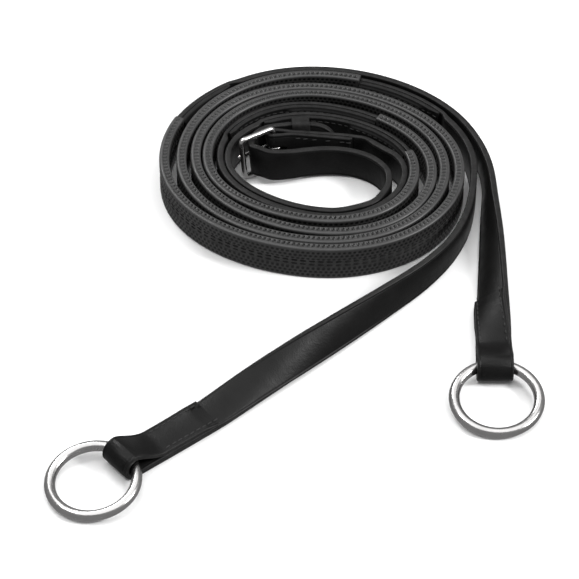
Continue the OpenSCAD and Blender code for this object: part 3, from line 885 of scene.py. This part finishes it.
def grip(name, rein, ends, cad):
    """Rubber with rows of pits on its faces and edges, along the winding."""
    angles, lengths = even_angles(rein, ends[0], ends[1], PIT / PIT_SAMPLES)
    pr = grip_profile()
    # Mask of the rounded rims, which get a painted highlight.
    to_rim = np.abs(np.abs(pr[:, 1]) - (GRIP_W / 2 - 0.25))
    rim = np.clip(1 - to_rim / 0.5, 0, 1) * (pr[:, 4] == PLAIN)
    pit_depth = np.where(pr[:, 4] == FACE, FACE_PIT_DEPTH, EDGE_PIT_DEPTH)
    rings, pits = [], []
    for k, a in enumerate(angles):
        f = coil_frame(rein, a)
        mid = np.array([f[0][0], f[0][1], GRIP_W / 2])
        to_end = min(k, len(angles) - 1 - k)
        share = pit_shares(pr, lengths[k])
        if to_end < END_RINGS:
            share = share * 0.0
        lift = -pit_depth * share - END_TAPER * max(0.0, 1 - to_end / END_RINGS)
        x = pr[:, 0] + pr[:, 2] * lift
        z = pr[:, 1] + pr[:, 3] * lift
        rings.append(mid + np.outer(x, f[2]) + np.outer(z, [0, 0, 1.0]))
        pits.append(share)
    verts, faces = tube(rings)
    # The pit depth also sets the painted shade in the pits, and the rim mask sets the painted highlight on
    # the rims.
    marks = {"pit": np.concatenate(pits), "rim": np.tile(rim, len(angles))}
    fix_normals(add(name, verts, faces, RUBBER, "reins", cad, marks))


for side, rein, laps, core, grip_ends in REINS:
    grip(side + "_grip_rubber", rein, grip_ends, [side + "_grip_cover"])


# --------------------------------------------------------------------- stitches
SEAM_ROW = 0.95
LAP_STITCH_PITCH = 3.4
ROW = LEATHER_W / 2 - STITCH_INSET
THREAD_LIFT = 0.02


def sew(name, places, size, material, cad):
    verts, faces = stitch_set(places, *size)
    add(name, verts, faces, material, "reins", cad)


def seam(name, rein, ends, cad):
    """Two rows of stitches in the valley of each face of the rubber."""
    bottom = GRIP_T / 2 - VALLEY_DEPTH + 0.1
    places = []
    for a in even_angles(rein, ends[0] + 2, ends[1] - 2, STITCH_PITCH)[0]:
        f = coil_frame(rein, a)
        for sn in (-1, 1):
            for dz in (-SEAM_ROW, SEAM_ROW):
                p = np.array([f[0][0], f[0][1], GRIP_W / 2 + dz]) + f[2] * sn * bottom
                places.append((p, f[3], f[2] * sn))
    sew(name, places, (2.9, 0.7, 0.34), SEAM, cad)


def edge_stitches(f, offsets):
    """Places for one stitch near each edge of a strap, on each face given by its offset."""
    places = []
    for row in (-ROW, ROW):
        for off in offsets:
            sg = 1 if off > 0 else -1
            places.append((f[0] + f[1] * row + f[2] * (off + sg * THREAD_LIFT), f[3], f[2] * sg))
    return places


def lap_threads(name, rein, a0, a1, laps, core, cad):
    outer, far = main_out(laps, core), lap_out(core)
    places = []
    for a in even_angles(rein, a0 + 1.5, a1 - 1.5, LAP_STITCH_PITCH)[0]:
        places += edge_stitches(coil_frame(rein, a), (eased(a, outer), eased(a, far)))
    sew(name, places, (2.5, 0.62, 0.24), THREAD, cad)


def face_threads(name, picked, offset, cad):
    places = []
    for f in picked:
        places += edge_stitches(f, (offset,))
    sew(name, places, (2.5, 0.62, 0.26), THREAD, cad)


for side, rein, laps, core, grip_ends in REINS:
    seam(side + "_seam_thread", rein, grip_ends, [side + "_grip_seam"])

for side, rein, laps, core, grip_ends in REINS:
    front, rear = side + "_front_lap", side + "_rear_lap"
    lap_threads(front + "_thread", rein, laps[0], grip_ends[0], laps, core, [front + "_stitches"])
    lap_threads(rear + "_thread", rein, grip_ends[1], laps[1], laps, core, [rear + "_stitches"])

LOOP_STEPS = 15
LOOP_FIRST = 17
LOOP_STITCHES = 9
LOOP_EVERY = 3
CHAPE_EVERY = 6
LOOP_TOP = HALF + PLY_GAP + PLY_T
for side, route, offset in (("right", RIGHT_TAIL, LOOP_TOP), ("left", LEFT_TAIL, -LOOP_TOP)):
    loop_frames = frames(spots(route, 0, 4, LOOP_STEPS))
    picked = loop_frames[LOOP_FIRST:LOOP_FIRST + LOOP_EVERY * LOOP_STITCHES:LOOP_EVERY]
    face_threads(side + "_loop_thread", picked, offset, [side + "_loop_stitches"])
chape_picked = CHAPE_FRAMES[CHAPE_EVERY - CHAPE_BACK:-20:CHAPE_EVERY]
face_threads("chape_thread", chape_picked, FAR, ["chape_stitches"])


# ------------------------------------------------------------------------ steel
def wire(name, points, radii, sides, body, cad, closed=False):
    """A round wire along points, with a frame that doesn't twist."""
    pts = np.array(points)
    n = len(pts)
    q = np.arange(sides) * 2 * math.pi / sides
    rings, ref = [], None
    for k in range(n):
        a = pts[(k - 1) % n] if closed else pts[max(k - 1, 0)]
        b = pts[(k + 1) % n] if closed else pts[min(k + 1, n - 1)]
        t = unit(b - a)
        if ref is None:
            ref = unit(np.cross(t, [0.3, 0.2, 0.93]))
        ref = unit(ref - ref.dot(t) * t)
        rings.append(pts[k] + np.outer(np.cos(q) * radii[k], ref)
                     + np.outer(np.sin(q) * radii[k], np.cross(t, ref)))
    verts, faces = tube(rings, closed)
    fix_normals(add(name, verts, faces, STEEL, body, cad))


RING_R = (RING_OD - RING_BAR) / 2
RING_DIP = math.radians(6.2)
RING_SLACK = 1.05
RING_POINTS = 120


def ring(side, route, up):
    """A ring that hangs in its loop and dips to the floor."""
    f0 = frames(spots(route, 0, 1, 4))[0]
    axis = f0[0] + f0[2] * up * (FOLD_OUT - HALF)
    away = -f0[3] * math.cos(RING_DIP) - f0[2] * up * math.sin(RING_DIP)
    centre = axis + away * (RING_R - RING_SLACK)
    turns = np.linspace(0, 2 * math.pi, RING_POINTS, endpoint=False)
    pts = [centre + (away * math.cos(t) + f0[1] * math.sin(t)) * RING_R for t in turns]
    body = side + "_ring"
    wire(body + "_steel", pts, [RING_BAR / 2] * len(pts), 32, body, [body], closed=True)


ring("right", RIGHT_TAIL, 1)
ring("left", LEFT_TAIL, -1)

FRAME_CORNER_R = 1.6
FRAME_POINT_GAP = 1.5


def buckle_frame():
    """A rounded wire rectangle, from the hinge bar at x = 0 to the end bar."""
    loop = [(x + FRAME_REACH / 2, z)
            for x, z, _, _ in rounded(FRAME_REACH / 2, (FRAME_GAP + WIRE_D) / 2, FRAME_CORNER_R, 6)]
    pts = []
    for a, b in zip(loop, loop[1:] + loop[:1]):
        m = max(1, int(math.hypot(b[0] - a[0], b[1] - a[1]) / FRAME_POINT_GAP))
        pts += [at_buckle(a[0] + (b[0] - a[0]) * j / m, 0, a[1] + (b[1] - a[1]) * j / m) for j in range(m)]
    radii = [WIRE_D / 2] * len(pts)
    wire("buckle_frame_steel", pts, radii, 20, "buckle_frame", ["buckle_frame"], closed=True)


def buckle_prong():
    """A wire turned round the hinge bar, then straight through the billet and over the end bar."""
    eye = np.linspace(2 * math.pi, math.pi / 2, 28)
    pts = [at_buckle(PRONG_OFF * math.cos(t), PRONG_OFF * math.sin(t)) for t in eye]
    pts += [at_buckle(x, PRONG_OFF) for x in np.linspace(0, FRAME_REACH + 1.3, 26)[1:]]
    radii = [0.8] + [PRONG_D / 2] * (len(pts) - 5) + [0.97, 0.9, 0.72, 0.4]
    wire("buckle_prong_steel", pts, radii, 18, "buckle_prong", ["buckle_prong"])


buckle_frame()
buckle_prong()

# ----------------------------------------------------------------------- keeper
KEEPER_CORNER_R = 1.3
KEEPER_EDGE_R = 0.45
KEEPER_ROOM_W = 0.6
KEEPER_ROOM_T = 1.8


def keeper():
    """A leather band round chape and billet, with burnished edges."""
    f = BILLET_FRAMES[len(BILLET_FRAMES) - 1 - 2 * STEPS]
    half_t = (LEATHER_T + KEEPER_ROOM_T + KEEPER_T) / 2
    half_w = (LEATHER_W + KEEPER_ROOM_W + KEEPER_T) / 2
    section = rounded(KEEPER_L / 2, KEEPER_T / 2, KEEPER_EDGE_R, 3)
    rings, edge = [], []
    for x, z, nx, nz in rounded(half_t, half_w, KEEPER_CORNER_R, 6):
        mid = f[0] + f[2] * x + f[1] * z
        out = f[2] * nx + f[1] * nz
        rings.append(np.array([mid + f[3] * a + out * b for a, b, _, _ in section]))
        edge += [1.0 if abs(a) > KEEPER_L / 2 - 0.5 else 0.0 for a, _, _, _ in section]
    verts, faces = tube(rings, closed=True)
    fix_normals(add("keeper_leather", verts, faces, LAP, "reins", ["keeper"], {"edge": edge}))


keeper()

# The webbing cores are the CAD's own shapes with a woven finish.
for name in ("right_grip_core", "left_grip_core"):
    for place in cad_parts[name].material_slots:
        place.link = "OBJECT"
        place.material = WEBBING

# ------------------------------------------------------------- floor and lights
FLOOR_HALF = 4
floor_mat, _, floor_shader = nodes_of("floor")
floor_shader.inputs["Base Color"].default_value = (0.93, 0.93, 0.93, 1)
floor_shader.inputs["Roughness"].default_value = 0.6
floor_mesh = bpy.data.meshes.new("floor")
floor_corners = [(x * FLOOR_HALF, y * FLOOR_HALF, 0) for x, y in ((-1, -1), (1, -1), (1, 1), (-1, 1))]
floor_mesh.from_pydata(floor_corners, [], [[0, 1, 2, 3]])
floor_mesh.materials.append(floor_mat)
floor = bpy.data.objects.new("floor", floor_mesh)
bpy.context.scene.collection.objects.link(floor)
# Glossy surfaces mirror the lights and the pale surroundings, and not the floor.
floor.visible_glossy = False

world = bpy.data.worlds.new("world")
bpy.context.scene.world = world
world.use_nodes = True
background = world.node_tree.nodes["Background"]
background.inputs["Color"].default_value = (1, 1, 1, 1)
background.inputs["Strength"].default_value = 0.32
LIGHT_AIM = Vector((0, 0.03, 0))


def softbox(name, place, size, power):
    """A square light that faces the middle of the reins."""
    data = bpy.data.lights.new(name, "AREA")
    data.shape = "SQUARE"
    data.size = size
    data.energy = power
    ob = bpy.data.objects.new(name, data)
    bpy.context.scene.collection.objects.link(ob)
    ob.location = place
    ob.rotation_euler = (LIGHT_AIM - Vector(place)).to_track_quat("-Z", "Y").to_euler()


softbox("overhead_light", (0.0, 0.1, 2.0), 2.6, 36.0)
softbox("back_light", (-0.9, 1.5, 1.5), 0.6, 18.0)
softbox("side_light", (1.69, -0.35, 1.35), 0.5, 38.0)
softbox("left_light", (-1.1, 0.0, 1.7), 0.3, 7.0)
